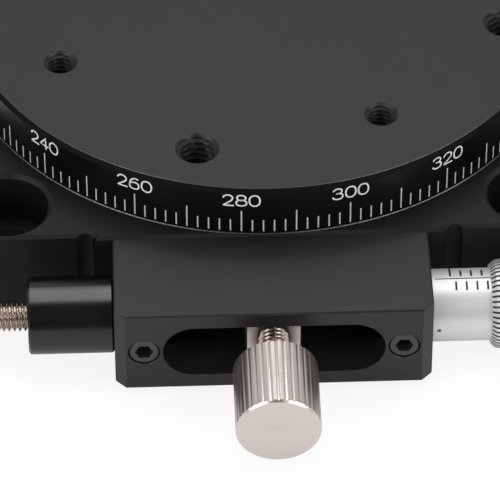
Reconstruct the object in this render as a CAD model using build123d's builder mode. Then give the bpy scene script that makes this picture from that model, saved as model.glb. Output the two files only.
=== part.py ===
"""Manual rotation stage, 60 mm, with a micrometer fine drive, as separate pieces.

Frame: origin at the centre of the base's underside, +Z up, +X towards the micrometer and -Y towards
the lock screw.  All sizes are in millimetres.  The table turns on a crossed-roller bearing.  A ring
around the table's hub carries a square bar, which the micrometer and a spring push from either side.
"""
import os
from math import radians, sqrt

from build123d import *

# ------------------------------------------------------------------ driving sizes: table and base
table_d = 60.0  # rotating table, outside diameter
table_h = 5.4  # table rim height
table_gap = 0.2  # running gap between the table and the base
rim_break = 0.12  # chamfer on the table's rim, small so that the scale reaches its lower edge
base_h = 10.4  # base thickness
corner_cut = 1.0  # chamfer on the base's upright edges
edge_break = 0.3  # small chamfer on turned and milled edges
total_h = base_h + table_gap + table_h

# ------------------------------------------------------------------ fastening holes
base_hole_inset = 5.0  # from the base's edges to its counterbored holes
base_hole_d = 4.5
counterbore_d = 8.0
counterbore_depth = 5.4
hole_chamfer = 0.4
large_square = 35.0  # square pattern of M4 tapped holes in the table
large_tap_d = 3.3
large_tap_top_d = 4.1
small_circle_d = 45.0  # circle of M3 tapped holes in the table
small_tap_d = 2.5
small_tap_top_d = 3.4
table_angle = -15.7  # turn of the table at rest, from the front towards +X
tap_count = 4

# ------------------------------------------------------------------ clearances
fit_gap = 0.02  # radial clearance of a located fit
run_gap = 0.03  # radial clearance of a shaft that turns or slides
wide_gap = 0.05  # clearance of plain washers and slugs
contact_gap = 0.06  # gap at rest between the bar and the two tips that bear on it
slot_gap = 0.3  # room around the square bar

# ------------------------------------------------------------------ crossed-roller bearing
roller_d = 3.0
roller_end_gap = 0.15  # end clearance of each roller in its groove
roller_count = 16
pitch_r = 12.5
ring_split = 0.9  # radial space between the inner and outer rings
inner_ring_wall = 3.5  # from the rollers' pitch circle to the inner ring's bore
outer_ring_wall = 4.0  # from the rollers' pitch circle to the outside
bearing_h = 5.6
cage_wall = 0.5
cage_pocket_gap = 0.12
cage_end_gap = 0.2

# ------------------------------------------------------------------ base interior and centre post
floor_h = 2.0
post_flange_w = 2.8  # the flange beyond the inner ring's bore
post_flange_h = 0.8
post_flange_gap = 0.3  # between the post's flange and the table
post_screw_pitch_r = 6.0
post_screw_count = 3
post_screw_d = 3.0
post_screw_head_d = 5.6
post_screw_l = 7.6
post_screw_key = 2.0
screw_sink = 0.1  # depth of a countersunk head below its face
pocket_gap = 0.5  # room between the arm ring and the pocket wall

# ------------------------------------------------------------------ table hub, arm ring, washers
hub_wall = 3.0
hub_floor_gap = 0.6  # hub's lower edge above the pocket floor
shoulder_w = 2.0  # lip that the outer ring seats on
retainer_bore_r = 14.0
retainer_hole_r = 0.6
arm_ring_wall = 4.45
arm_boss_w = 8.0
arm_boss_step = 1.77  # boss face beyond the arm ring
ring_washer_w = 4.0
ring_washer_h = 0.6
thrust_washer_w = 2.5
thrust_washer_inset = 0.85  # from the table's edge
thrust_groove_depth = 0.6

# ------------------------------------------------------------------ adjuster block
block_w = 30.0
block_depth = 10.5
block_h = 9.3
block_drop = 0.3  # block's top below the base's top
block_corner_cut = 1.0
slot_w = 21.0
rear_wall = 2.0
drive_setback = 5.1  # from the base's pad to the micrometer's axis
stem_r = 3.0
stem_screw_x = 12.25
block_screw_x = 8.25
block_screw_d = 2.0
block_screw_head_d = 3.8
block_screw_l = 6.0
block_screw_key = 1.3
pad_w = 33.2  # raised pad on the base's front, behind the block
pad_proud = 0.4
pad_groove_r = 1.0
pad_groove_set = 0.65  # groove's centre in front of the relieved face

# ------------------------------------------------------------------ square bar and lock screw
bar_w = 5.3
bar_h = 5.5
bar_recess = 1.5  # bar's end behind the block's front
bar_spigot_d = 4.5
bar_spigot_l = 3.2
arm_swing = 5.0  # degrees each way
thread_d = 3.0  # lock screw, preload screw and set screws
shoe_l = 2.3
lock_gap = 2.6  # bare thread between the block and the lock knob
knob_d = 8.0
knob_l = 8.0
knob_flutes = 36
flute_r = 0.15  # radius of each groove of the straight knurl
knob_chamfer = 0.2
knob_bore_l = 5.0
set_screw_recess = 0.12
set_screw_key = 1.5  # across the flats
set_screw_key_depth = 1.2
hole_break = 0.08  # countersink at each set screw's hole

# ------------------------------------------------------------------ micrometer
sleeve_wall = 0.43
sleeve_l = 10.4
frame_l = 12.9  # length of the threaded body beyond the block
thimble_start = 5.65  # thimble's edge from the block's side at rest
thimble_edge_wall = 0.25
thimble_nose_l = 0.45  # rounded nose from the thin edge
thimble_nose_h = 0.4
thimble_taper_l = 2.5  # from the edge to the full diameter
thimble_gap = 0.06
thimble_scale_l = 4.5
grip_r = 4.6
grip_l = 10.4
grip_flutes = 40
thimble_end_h = 2.6
spindle_r = 1.5
spindle_thread_r = 1.75
spindle_thread_start = 4.4  # from the block's side at rest
spindle_thread_l = 11.4
ball_r = 1.25
ball_cup_gap = 0.03
ball_set_in = 0.91  # how far the ball sits inside the spindle
nut_l = 2.1
nut_r = 3.3
nut_wall = 0.5
cap_r = 3.2
cap_l = 3.0
cap_flutes = 20
cap_spigot_r = 0.9
cap_spigot_l = 2.5
spanner_hole_r = 0.2
spanner_hole_x = 0.65  # from the block's side

# ------------------------------------------------------------------ spring side
barrel_r = 3.7
barrel_l = 8.1
barrel_chamfer = 0.2
chamber_r = 2.45
guide_wall = 0.75  # end wall that guides the plunger
plug_l = 1.8
plunger_r = 1.5
collar_r = 2.2
collar_l = 0.7
collar_travel = 3.15  # room before the collar meets the guide wall
seat_l = 0.6
seat_gap = 0.1
spring_wire_d = 0.35
spring_r = 2.0
spring_turns = 6
preload_gap = 4.9  # bare thread between the barrel and the preload knob

# ------------------------------------------------------------------ worked out from the above
base_w = table_d  # the base is square, as wide as the table
half_base = base_w / 2
base_hole_pitch = base_w - 2 * base_hole_inset
table_z = base_h + table_gap
thrust_washer_out_r = table_d / 2 - thrust_washer_inset
thrust_washer_in_r = thrust_washer_out_r - thrust_washer_w
front_y = -half_base
drive_y = front_y - drive_setback
drive_z = floor_h + ring_washer_h + wide_gap + bar_h / 2
block_front_y = front_y - block_depth
block_top_z = base_h - block_drop
block_side = block_w / 2
slot_h = bar_h + 2 * slot_gap
slot_end_x = slot_w / 2
inner_bore_r = pitch_r - inner_ring_wall
outer_ring_r = pitch_r + outer_ring_wall
post_flange_r = inner_bore_r + post_flange_w
boss_r = post_flange_r
bearing_seat_z = table_z - post_flange_gap - post_flange_h - bearing_h
bearing_mid_z = bearing_seat_z + bearing_h / 2
bearing_top_z = bearing_seat_z + bearing_h
groove_side = roller_d + 2 * fit_gap
roller_l = roller_d - 2 * roller_end_gap
inner_face_r = pitch_r - ring_split / 2
outer_face_r = pitch_r + ring_split / 2
hub_r = outer_ring_r + fit_gap + hub_wall
hub_bottom_z = floor_h + hub_floor_gap
arm_ring_in_r = hub_r + run_gap
arm_ring_out_r = arm_ring_in_r + arm_ring_wall
arm_boss_reach = arm_ring_out_r + arm_boss_step
arm_bottom_z = drive_z - bar_h / 2
pocket_r = arm_ring_out_r + pocket_gap
swing = radians(arm_swing)
window_w = arm_boss_w + 2 * arm_boss_reach * swing + 2 * slot_gap
window_top_z = drive_z + slot_h / 2
rear_window_w = bar_w + 2 * (half_base + rear_wall) * swing + 2 * slot_gap
bar_front_y = block_front_y + bar_recess
bar_l = -bar_front_y - arm_boss_reach
thread_r = thread_d / 2
stud_r = thread_r - run_gap
knob_rear_y = block_front_y - lock_gap
shoe_face_r = hub_r + contact_gap
shoe_back_y = -(shoe_face_r + shoe_l)
tap_angle = table_angle - 90

# along the drive axis, to the right of the block: micrometer
spindle_travel = -drive_y * swing
ball_x = bar_w / 2 + contact_gap + ball_r
spindle_tip_x = ball_x + ball_r - ball_set_in
spindle_cup_x = spindle_tip_x + ball_set_in + ball_cup_gap
spindle_thread_x = block_side + spindle_thread_start
spindle_thread_end_x = spindle_thread_x + spindle_thread_l
frame_thread_x = spindle_thread_x - spindle_travel - slot_gap
frame_end_x = block_side + frame_l
nut_start_x = frame_end_x - nut_l
frame_end_r = nut_r - nut_wall
sleeve_bore_r = stem_r + fit_gap
sleeve_r = sleeve_bore_r + sleeve_wall
thimble_bore_r = sleeve_r + thimble_gap
thimble_edge_r = thimble_bore_r + thimble_edge_wall
thimble_x = block_side + thimble_start
grip_x = thimble_x + thimble_scale_l
thimble_end_x = grip_x + grip_l
thimble_wall_x = thimble_end_x - thimble_end_h
spindle_tap_x = thimble_end_x - cap_spigot_l - fit_gap

# along the drive axis, to the left of the block: spring barrel and preload screw
chamber_x = -(slot_end_x + guide_wall)
barrel_end_x = -(block_side + barrel_l)
plug_x = barrel_end_x + plug_l
plunger_tip_x = -(bar_w / 2 + contact_gap)
collar_x = chamber_x - collar_travel
seat_back_x = plug_x + seat_gap
seat_front_x = seat_back_x + seat_l
preload_knob_x = barrel_end_x - preload_gap


def drive_plane(x, facing=1):
    """Plane square to the drive axis at the given X, facing +X, or -X where facing is -1."""
    return Plane(origin=(x, drive_y, drive_z), x_dir=(0, 1, 0), z_dir=(facing, 0, 0))


def lock_plane(y):
    """Plane square to the lock screw's axis at the given Y, facing the front."""
    return Plane(origin=(0, y, drive_z), x_dir=(1, 0, 0), z_dir=(0, -1, 0))


drive_section = lock_plane(drive_y)
drive_axis = Axis((0, drive_y, drive_z), (1, 0, 0))
underside = Plane(origin=(0, 0, 0), x_dir=(1, 0, 0), z_dir=(0, 0, -1))


def save(part, label):
    """Label one finished piece and write it as its own STEP file."""
    part.label = label
    export_step(part, f"parts/{label}.step")


os.makedirs("parts", exist_ok=True)

# ================================================================== base plate
with BuildPart() as base_plate:
    with BuildSketch():
        Rectangle(base_w, base_w)
        chamfer(vertices(), length=corner_cut)
        # the front is relieved on each side of the pad that carries the block
        relief_w = half_base - pad_w / 2
        for side in (-1, 1):
            with Locations((side * (pad_w + relief_w) / 2, front_y + pad_proud / 2)):
                Rectangle(relief_w, pad_proud, mode=Mode.SUBTRACT)
    extrude(amount=base_h)
    chamfer(base_plate.edges().group_by(Axis.Z)[-1], length=edge_break)
    # upright groove at each end of the pad
    with BuildSketch():
        for side in (-1, 1):
            with Locations((side * (pad_w / 2 + pad_groove_r), front_y + pad_proud - pad_groove_set)):
                Circle(pad_groove_r)
    extrude(amount=base_h, mode=Mode.SUBTRACT)
    # pocket for the arm ring, hub and bearing, with a boss in the middle
    with BuildSketch(Plane.XY.offset(floor_h)):
        Circle(pocket_r)
        Circle(boss_r, mode=Mode.SUBTRACT)
    extrude(amount=base_h - floor_h, mode=Mode.SUBTRACT)
    with BuildSketch(Plane.XY.offset(bearing_seat_z)):
        Circle(boss_r)
    extrude(amount=base_h - bearing_seat_z, mode=Mode.SUBTRACT)
    # window through the front wall for the arm
    with BuildSketch(lock_plane(-arm_ring_in_r)):
        with Locations((0, window_top_z - drive_z)):
            Rectangle(window_w, window_top_z - floor_h, align=(Align.CENTER, Align.MAX))
    extrude(amount=half_base, mode=Mode.SUBTRACT)
    # groove for the thrust washer
    with BuildSketch(Plane.XY.offset(base_h - thrust_groove_depth)):
        Circle(thrust_washer_out_r + wide_gap)
        Circle(thrust_washer_in_r - wide_gap, mode=Mode.SUBTRACT)
    extrude(amount=thrust_groove_depth, mode=Mode.SUBTRACT)
    # counterbored corner holes with chamfered mouths
    with Locations(Plane.XY.offset(base_h)):
        with GridLocations(base_hole_pitch, base_hole_pitch, 2, 2):
            CounterBoreHole(base_hole_d / 2, counterbore_d / 2, counterbore_depth)
            Cone(
                counterbore_d / 2,
                counterbore_d / 2 + hole_chamfer,
                hole_chamfer,
                align=(Align.CENTER, Align.CENTER, Align.MAX),
                mode=Mode.SUBTRACT,
            )
    # countersunk holes for the post's screws
    with Locations(underside):
        with PolarLocations(post_screw_pitch_r, post_screw_count):
            CounterSinkHole(
                post_screw_d / 2 + fit_gap,
                post_screw_head_d / 2 + screw_sink + fit_gap,
                bearing_seat_z + fit_gap,
                90,
            )
    # tapped holes that hold the adjuster block
    with Locations(lock_plane(front_y)):
        with Locations((-block_screw_x, 0), (block_screw_x, 0)):
            Hole(block_screw_d / 2 + fit_gap, block_screw_l - rear_wall + slot_gap)
save(base_plate.part, "base_plate")

# ================================================================== centre post
with BuildPart() as centre_post:
    with BuildSketch(Plane.XY.offset(bearing_seat_z)):
        Circle(inner_bore_r - fit_gap)
    extrude(amount=bearing_h)
    with BuildSketch(Plane.XY.offset(bearing_top_z)):
        Circle(post_flange_r)
    extrude(amount=post_flange_h)
    chamfer(centre_post.edges().group_by(Axis.Z)[-1], length=edge_break)
    with Locations(underside.offset(-bearing_seat_z)):
        with PolarLocations(post_screw_pitch_r, post_screw_count):
            Hole(post_screw_d / 2 + fit_gap, post_screw_l - bearing_seat_z + slot_gap)
save(centre_post.part, "centre_post")


def countersunk_screw(thread, head, length, key):
    """Flat-headed socket screw: the head's face is on XY and the shank hangs below it."""
    head_h = (head - thread) / 2
    with BuildPart() as screw:
        Cylinder(thread / 2, length, align=(Align.CENTER, Align.CENTER, Align.MAX))
        Cone(thread / 2, head / 2, head_h, align=(Align.CENTER, Align.CENTER, Align.MAX))
        with BuildSketch():
            RegularPolygon(key / sqrt(3), 6)
        extrude(amount=-head_h, mode=Mode.SUBTRACT)
    return screw.part


def set_screw(radius, length, key, key_depth):
    """Headless socket screw: its socket is on XY and the rest lies below."""
    with BuildPart() as screw:
        Cylinder(radius, length, align=(Align.CENTER, Align.CENTER, Align.MAX))
        with BuildSketch():
            RegularPolygon(key / sqrt(3), 6)
        extrude(amount=-key_depth, mode=Mode.SUBTRACT)
        chamfer(screw.edges().filter_by(GeomType.CIRCLE), length=edge_break / 2)
    return screw.part


post_screw = countersunk_screw(post_screw_d, post_screw_head_d, post_screw_l, post_screw_key)
with BuildPart() as post_screws:
    with Locations(underside.offset(-screw_sink)):
        with PolarLocations(post_screw_pitch_r, post_screw_count):
            add(post_screw)
save(post_screws.part, "post_screws")

# ================================================================== crossed-roller bearing
with BuildPart() as bearing_inner_ring:
    with BuildSketch(Plane.XZ):
        with Locations((inner_bore_r, bearing_seat_z)):
            Rectangle(inner_face_r - inner_bore_r, bearing_h, align=Align.MIN)
        with Locations((pitch_r, bearing_mid_z)):
            Rectangle(groove_side, groove_side, rotation=45, mode=Mode.SUBTRACT)
    revolve(axis=Axis.Z)
save(bearing_inner_ring.part, "bearing_inner_ring")


def outer_ring_half(bottom_z):
    """One of the two halves of the split outer ring, standing on the given height."""
    with BuildPart() as half:
        with BuildSketch(Plane.XZ):
            with Locations((outer_face_r, bottom_z)):
                Rectangle(outer_ring_r - outer_face_r, bearing_h / 2, align=Align.MIN)
            with Locations((pitch_r, bearing_mid_z)):
                Rectangle(groove_side, groove_side, rotation=45, mode=Mode.SUBTRACT)
        revolve(axis=Axis.Z)
    return half.part


save(outer_ring_half(bearing_seat_z), "bearing_outer_ring_lower")
save(outer_ring_half(bearing_mid_z), "bearing_outer_ring_upper")

# each roller lies across its neighbours: their axes lean in and out by turns
roller_planes = []
for index in range(roller_count):
    angle = 360 / roller_count * index
    lean = 1 if index % 2 else -1
    centre = Vector(pitch_r, 0, bearing_mid_z).rotate(Axis.Z, angle)
    roller_planes.append(Plane(origin=centre, z_dir=Vector(1, 0, lean).rotate(Axis.Z, angle)))

with BuildPart() as bearing_rollers:
    with Locations(*roller_planes):
        Cylinder(roller_d / 2, roller_l)
save(bearing_rollers.part, "bearing_rollers")

with BuildPart() as roller_cage:
    with BuildSketch(Plane.XY.offset(bearing_seat_z + cage_end_gap)):
        Circle(pitch_r + cage_wall / 2)
        Circle(pitch_r - cage_wall / 2, mode=Mode.SUBTRACT)
    extrude(amount=bearing_h - 2 * cage_end_gap)
    with Locations(*roller_planes):
        Cylinder(
            roller_d / 2 + cage_pocket_gap,
            roller_l + 2 * cage_pocket_gap,
            mode=Mode.SUBTRACT,
        )
save(roller_cage.part, "roller_cage")

# ================================================================== rotary table and retainer
with BuildPart() as rotary_table:
    with BuildSketch(Plane.XY.offset(table_z)):
        Circle(table_d / 2)
    extrude(amount=table_h)
    chamfer(rotary_table.edges().filter_by(GeomType.CIRCLE), length=rim_break)
    with BuildSketch(Plane.XY.offset(hub_bottom_z)):
        Circle(hub_r)
        Circle(outer_ring_r + fit_gap, mode=Mode.SUBTRACT)
    extrude(amount=bearing_top_z - hub_bottom_z)
    with BuildSketch(Plane.XY.offset(bearing_top_z)):
        Circle(hub_r)
        Circle(outer_ring_r - shoulder_w, mode=Mode.SUBTRACT)
    extrude(amount=table_z - bearing_top_z)
    with Locations(Plane.XY.offset(total_h)):
        with PolarLocations(large_square / sqrt(2), tap_count, tap_angle):
            CounterSinkHole(large_tap_d / 2, large_tap_top_d / 2, table_h, 90)
        with PolarLocations(small_circle_d / 2, tap_count, tap_angle + 180 / tap_count):
            CounterSinkHole(small_tap_d / 2, small_tap_top_d / 2, table_h, 90)
save(rotary_table.part, "rotary_table")

with BuildPart() as bearing_retainer:
    with BuildSketch(Plane.XY.offset(hub_bottom_z)):
        Circle(outer_ring_r)
        Circle(retainer_bore_r, mode=Mode.SUBTRACT)
        with PolarLocations((outer_ring_r + retainer_bore_r) / 2, tap_count):
            Circle(retainer_hole_r, mode=Mode.SUBTRACT)
    extrude(amount=bearing_seat_z - hub_bottom_z)
save(bearing_retainer.part, "bearing_retainer")

with BuildPart() as thrust_washer:
    with BuildSketch(Plane.XY.offset(base_h - thrust_groove_depth)):
        Circle(thrust_washer_out_r)
        Circle(thrust_washer_in_r, mode=Mode.SUBTRACT)
    extrude(amount=thrust_groove_depth + table_gap - wide_gap)
save(thrust_washer.part, "thrust_washer")

# ================================================================== arm ring, square bar, lock screw
with BuildPart() as arm_ring:
    with BuildSketch(Plane.XY.offset(arm_bottom_z)):
        Circle(arm_ring_out_r)
        with Locations((0, -arm_boss_reach)):
            Rectangle(arm_boss_w, arm_boss_reach, align=(Align.CENTER, Align.MIN))
        Circle(arm_ring_in_r, mode=Mode.SUBTRACT)
    extrude(amount=bar_h)
    with BuildSketch(lock_plane(-arm_boss_reach)):
        Circle(bar_spigot_d / 2 + fit_gap)
    extrude(amount=-(bar_spigot_l + fit_gap), mode=Mode.SUBTRACT)
    with BuildSketch(lock_plane(-arm_boss_reach)):
        Circle(thread_r + wide_gap)
    extrude(amount=-arm_boss_reach / 2, mode=Mode.SUBTRACT)
save(arm_ring.part, "arm_ring")

with BuildPart() as arm_ring_washer:
    with BuildSketch(Plane.XY.offset(floor_h)):
        Circle(arm_ring_in_r + wide_gap + ring_washer_w)
        Circle(arm_ring_in_r + wide_gap, mode=Mode.SUBTRACT)
    extrude(amount=arm_bottom_z - floor_h - wide_gap)
save(arm_ring_washer.part, "arm_ring_washer")

with BuildPart() as tangent_bar:
    with BuildSketch(lock_plane(bar_front_y)):
        Rectangle(bar_w, bar_h)
    extrude(amount=-bar_l)
    chamfer(tangent_bar.edges().group_by(Axis.Y)[0], length=edge_break / 2)
    with BuildSketch(lock_plane(-arm_boss_reach)):
        Circle(bar_spigot_d / 2)
    extrude(amount=-bar_spigot_l)
    with BuildSketch(lock_plane(bar_front_y)):
        Circle(thread_r)
    extrude(amount=-(bar_l + bar_spigot_l), mode=Mode.SUBTRACT)
save(tangent_bar.part, "tangent_bar")

with BuildPart() as lock_shoe:
    with BuildSketch(lock_plane(shoe_back_y)):
        Circle(thread_r)
    extrude(amount=-(shoe_l + thread_r))
    with BuildSketch():
        Circle(shoe_face_r)
    extrude(amount=total_h, mode=Mode.SUBTRACT)
save(lock_shoe.part, "lock_shoe")


def fluted_knob(plane, bore_r):
    """Straight-knurled thumb knob: its bored face lies on the plane and it grows along the normal."""
    with BuildPart() as knob:
        with BuildSketch(plane):
            Circle(knob_d / 2)
        extrude(amount=knob_l)
        chamfer(knob.edges().filter_by(GeomType.CIRCLE), length=knob_chamfer)
        with BuildSketch(plane):
            with PolarLocations(knob_d / 2, knob_flutes):
                Circle(flute_r)
        extrude(amount=knob_l, mode=Mode.SUBTRACT)
        with BuildSketch(plane):
            Circle(bore_r)
        extrude(amount=knob_bore_l, mode=Mode.SUBTRACT)
    return knob.part


def threaded_stud(plane, length):
    """Stud of the thread's outside diameter: its inner end is on the plane, and both ends are bevelled."""
    with BuildPart() as stud:
        with BuildSketch(plane):
            Circle(stud_r)
        extrude(amount=length)
        chamfer(stud.edges().filter_by(GeomType.CIRCLE), length=edge_break)
    return stud.part


stud_tip_y = shoe_back_y - fit_gap
lock_stud_l = stud_tip_y - knob_rear_y + knob_bore_l - fit_gap
save(threaded_stud(lock_plane(stud_tip_y), lock_stud_l), "lock_stud")
save(fluted_knob(lock_plane(knob_rear_y), thread_r), "lock_knob")

# ================================================================== adjuster block
with BuildPart() as adjuster_block:
    with BuildSketch(Plane.XY.offset(block_top_z - block_h)):
        with Locations((0, front_y)):
            Rectangle(block_w, block_depth, align=(Align.CENTER, Align.MAX))
        chamfer(vertices().group_by(Axis.Y)[0], length=block_corner_cut)
    extrude(amount=block_h)
    chamfer(
        adjuster_block.faces().sort_by(Axis.Z)[-1].edges().sort_by(Axis.Y)[:-1],
        length=edge_break / 2,
    )
    # slot for the bar, open at the front, with a narrower window through the rear wall
    with BuildSketch(lock_plane(block_front_y)):
        SlotOverall(slot_w, slot_h)
    extrude(amount=-(block_depth - rear_wall), mode=Mode.SUBTRACT)
    with BuildSketch(lock_plane(block_front_y)):
        Rectangle(rear_window_w, slot_h)
    extrude(amount=-block_depth, mode=Mode.SUBTRACT)
    # bores for the micrometer's stem and the spring barrel's stem
    for side in (-1, 1):
        with BuildSketch(drive_plane(side * (slot_end_x - slot_h / 2), side)):
            Circle(stem_r + fit_gap)
        extrude(amount=block_side, mode=Mode.SUBTRACT)
    with Locations(lock_plane(block_front_y)):
        with Locations((-stem_screw_x, 0), (stem_screw_x, 0)):
            CounterSinkHole(thread_r, thread_r + hole_break, drive_y - block_front_y, 90)
    with Locations(lock_plane(front_y - rear_wall)):
        with Locations((-block_screw_x, 0), (block_screw_x, 0)):
            CounterSinkHole(
                block_screw_d / 2 + fit_gap,
                block_screw_head_d / 2 + fit_gap,
                rear_wall + fit_gap,
                90,
            )
save(adjuster_block.part, "adjuster_block")

block_screw = countersunk_screw(block_screw_d, block_screw_head_d, block_screw_l, block_screw_key)
with BuildPart() as block_screws:
    with Locations(lock_plane(front_y - rear_wall)):
        with Locations((-block_screw_x, 0), (block_screw_x, 0)):
            add(block_screw)
save(block_screws.part, "block_screws")

set_screw_face_y = block_front_y + set_screw_recess
clamp_screw = set_screw(
    stud_r,
    drive_y - stem_r - fit_gap - set_screw_face_y,
    set_screw_key,
    set_screw_key_depth,
)
with BuildPart() as stem_clamp_screws:
    with Locations(lock_plane(set_screw_face_y)):
        with Locations((-stem_screw_x, 0), (stem_screw_x, 0)):
            add(clamp_screw)
save(stem_clamp_screws.part, "stem_clamp_screws")


def turned(*steps):
    """Solid turned about the drive axis from steps of (start X, end X, inner radius, outer radius)."""
    with BuildPart() as body:
        with BuildSketch(drive_section):
            for start, end, inner, outer in steps:
                with Locations(((start + end) / 2, (inner + outer) / 2)):
                    Rectangle(end - start, outer - inner)
        revolve(axis=drive_axis)
    return body.part


# ================================================================== micrometer
save(
    turned(
        (slot_end_x, frame_thread_x, spindle_r + run_gap, stem_r),
        (frame_thread_x, nut_start_x, spindle_thread_r + run_gap, stem_r),
        (nut_start_x, frame_end_x, spindle_thread_r + run_gap, frame_end_r),
    ),
    "micrometer_frame",
)
save(turned((nut_start_x, frame_end_x, frame_end_r + fit_gap, nut_r)), "adjusting_nut")

with BuildPart() as micrometer_sleeve:
    add(turned((block_side, block_side + sleeve_l, sleeve_bore_r, sleeve_r)))
    # small hole for the spanner that turns the sleeve to its zero
    with BuildSketch(drive_section):
        with Locations((block_side + spanner_hole_x, 0)):
            Circle(spanner_hole_r)
    extrude(amount=sleeve_r, mode=Mode.SUBTRACT)
save(micrometer_sleeve.part, "micrometer_sleeve")

with BuildPart() as contact_ball:
    with Locations((ball_x, drive_y, drive_z)):
        Sphere(ball_r)
save(contact_ball.part, "contact_ball")

save(
    turned(
        (spindle_tip_x, spindle_cup_x, ball_r + ball_cup_gap, spindle_r),
        (spindle_cup_x, spindle_thread_x, 0, spindle_r),
        (spindle_thread_x, spindle_thread_end_x, 0, spindle_thread_r),
        (spindle_thread_end_x, spindle_tap_x, 0, spindle_r),
        (spindle_tap_x, thimble_end_x, cap_spigot_r + fit_gap, spindle_r),
    ),
    "micrometer_spindle",
)

with BuildPart() as micrometer_thimble:
    with BuildSketch(drive_section):
        Polygon(
            (thimble_x, thimble_bore_r),
            (thimble_x, thimble_edge_r),
            (thimble_x + thimble_nose_l, thimble_edge_r + thimble_nose_h),
            (thimble_x + thimble_taper_l, grip_r),
            (thimble_end_x - edge_break, grip_r),
            (thimble_end_x, grip_r - edge_break),
            (thimble_end_x, spindle_r + fit_gap),
            (thimble_wall_x, spindle_r + fit_gap),
            (thimble_wall_x, thimble_bore_r),
            align=None,
        )
    revolve(axis=drive_axis)
    with BuildSketch(drive_plane(grip_x)):
        with PolarLocations(grip_r, grip_flutes):
            Circle(flute_r)
    extrude(amount=grip_l, mode=Mode.SUBTRACT)
save(micrometer_thimble.part, "micrometer_thimble")

with BuildPart() as thimble_cap:
    with BuildSketch(drive_plane(thimble_end_x)):
        Circle(cap_r)
    extrude(amount=cap_l)
    chamfer(thimble_cap.edges().group_by(Axis.X)[-1], length=edge_break)
    with BuildSketch(drive_plane(thimble_end_x)):
        with PolarLocations(cap_r, cap_flutes):
            Circle(flute_r)
    extrude(amount=cap_l, mode=Mode.SUBTRACT)
    with BuildSketch(drive_plane(thimble_end_x)):
        Circle(cap_spigot_r)
    extrude(amount=-cap_spigot_l)
save(thimble_cap.part, "thimble_cap")

# ================================================================== spring barrel and preload screw
with BuildPart() as spring_barrel:
    add(
        turned(
            (barrel_end_x, -block_side, chamber_r, barrel_r),
            (-block_side, chamber_x, chamber_r, stem_r),
            (chamber_x, -slot_end_x, plunger_r + run_gap, stem_r),
        )
    )
    barrel_edges = spring_barrel.edges().filter_by(GeomType.CIRCLE)
    chamfer(
        barrel_edges.filter_by(lambda edge: edge.radius > stem_r + fit_gap),
        length=barrel_chamfer,
    )
save(spring_barrel.part, "spring_barrel")
save(turned((barrel_end_x, plug_x, thread_r, chamber_r - fit_gap)), "barrel_plug")

with BuildPart() as spring_plunger:
    add(
        turned(
            (collar_x - collar_l, collar_x, 0, collar_r),
            (collar_x, plunger_tip_x - plunger_r, 0, plunger_r),
        )
    )
    with Locations((plunger_tip_x - plunger_r, drive_y, drive_z)):
        Sphere(plunger_r)
save(spring_plunger.part, "spring_plunger")

save(turned((seat_back_x, seat_front_x, 0, chamber_r - wide_gap)), "spring_seat")

with BuildPart() as return_spring:
    spring_start_x = collar_x - collar_l - spring_wire_d / 2 - fit_gap
    spring_l = spring_start_x - (seat_front_x + spring_wire_d / 2 + fit_gap)
    with BuildLine() as coil:
        Helix(
            spring_l / spring_turns,
            spring_l,
            spring_r,
            center=(spring_start_x, drive_y, drive_z),
            direction=(-1, 0, 0),
        )
    with BuildSketch(Plane(origin=coil.line @ 0, z_dir=coil.line % 0)):
        Circle(spring_wire_d / 2)
    sweep(path=coil.line, is_frenet=True)
save(return_spring.part, "return_spring")

preload_tip_x = seat_back_x - fit_gap
preload_stud_l = preload_tip_x - preload_knob_x + knob_bore_l - fit_gap
save(threaded_stud(drive_plane(preload_tip_x, -1), preload_stud_l), "preload_stud")
save(fluted_knob(drive_plane(preload_knob_x, -1), thread_r), "preload_knob")
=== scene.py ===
"""Looks of a manual rotation stage: table, scale, block, lock screw, micrometer and spring barrel.

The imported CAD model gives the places.  Everything is written in millimetres and turned into metres
when a mesh is made.  +X points to the micrometer, -Y to the lock screw and +Z out of the table.
"""
from __future__ import annotations

import logging
import math
from dataclasses import dataclass, field, replace
from enum import Enum

import bmesh
import bpy
import numpy as np
from bpy.types import ID, Material, Mesh, Node, NodeTree, Object
from mathutils import Matrix, Vector
from mathutils.geometry import tessellate_polygon

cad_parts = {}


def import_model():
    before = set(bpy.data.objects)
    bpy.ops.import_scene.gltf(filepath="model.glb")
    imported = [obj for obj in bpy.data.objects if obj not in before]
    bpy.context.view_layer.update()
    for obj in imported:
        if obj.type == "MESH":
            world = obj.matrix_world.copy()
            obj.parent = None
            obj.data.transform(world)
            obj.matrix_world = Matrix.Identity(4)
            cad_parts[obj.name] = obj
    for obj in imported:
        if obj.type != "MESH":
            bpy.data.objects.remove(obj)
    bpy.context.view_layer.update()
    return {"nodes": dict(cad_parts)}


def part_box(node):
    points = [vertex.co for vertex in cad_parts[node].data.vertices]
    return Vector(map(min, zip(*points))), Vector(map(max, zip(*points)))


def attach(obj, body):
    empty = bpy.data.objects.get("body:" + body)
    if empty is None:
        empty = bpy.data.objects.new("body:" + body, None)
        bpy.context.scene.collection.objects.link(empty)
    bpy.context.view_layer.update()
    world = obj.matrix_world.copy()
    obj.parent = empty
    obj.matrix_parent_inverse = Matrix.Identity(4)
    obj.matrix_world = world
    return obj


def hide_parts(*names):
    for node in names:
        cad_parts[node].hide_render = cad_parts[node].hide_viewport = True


LOG = logging.getLogger("rotation_stage")
MM = 0.001
UM = 1e-6
PER_METRE = 1000.0
TURN = 2.0 * math.pi
WELD_MM = 0.0004
SLIVER_SHARE = 0.1  # of the weld distance
RING_SEGMENTS = 360
THREAD_ANGLES = np.arange(48) * TURN / 48
CURVE_STEPS = 12
OVAL_STEPS = 40
SQUARENESS = 2.3  # 2 would make the ovals ellipses
CAP_REACH = np.array([1.0, 0.94, 0.75, 0.4])  # places on a line's round end, in half widths
SIDES = np.array([-1.0, -1.0, 1.0, 1.0])
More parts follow.
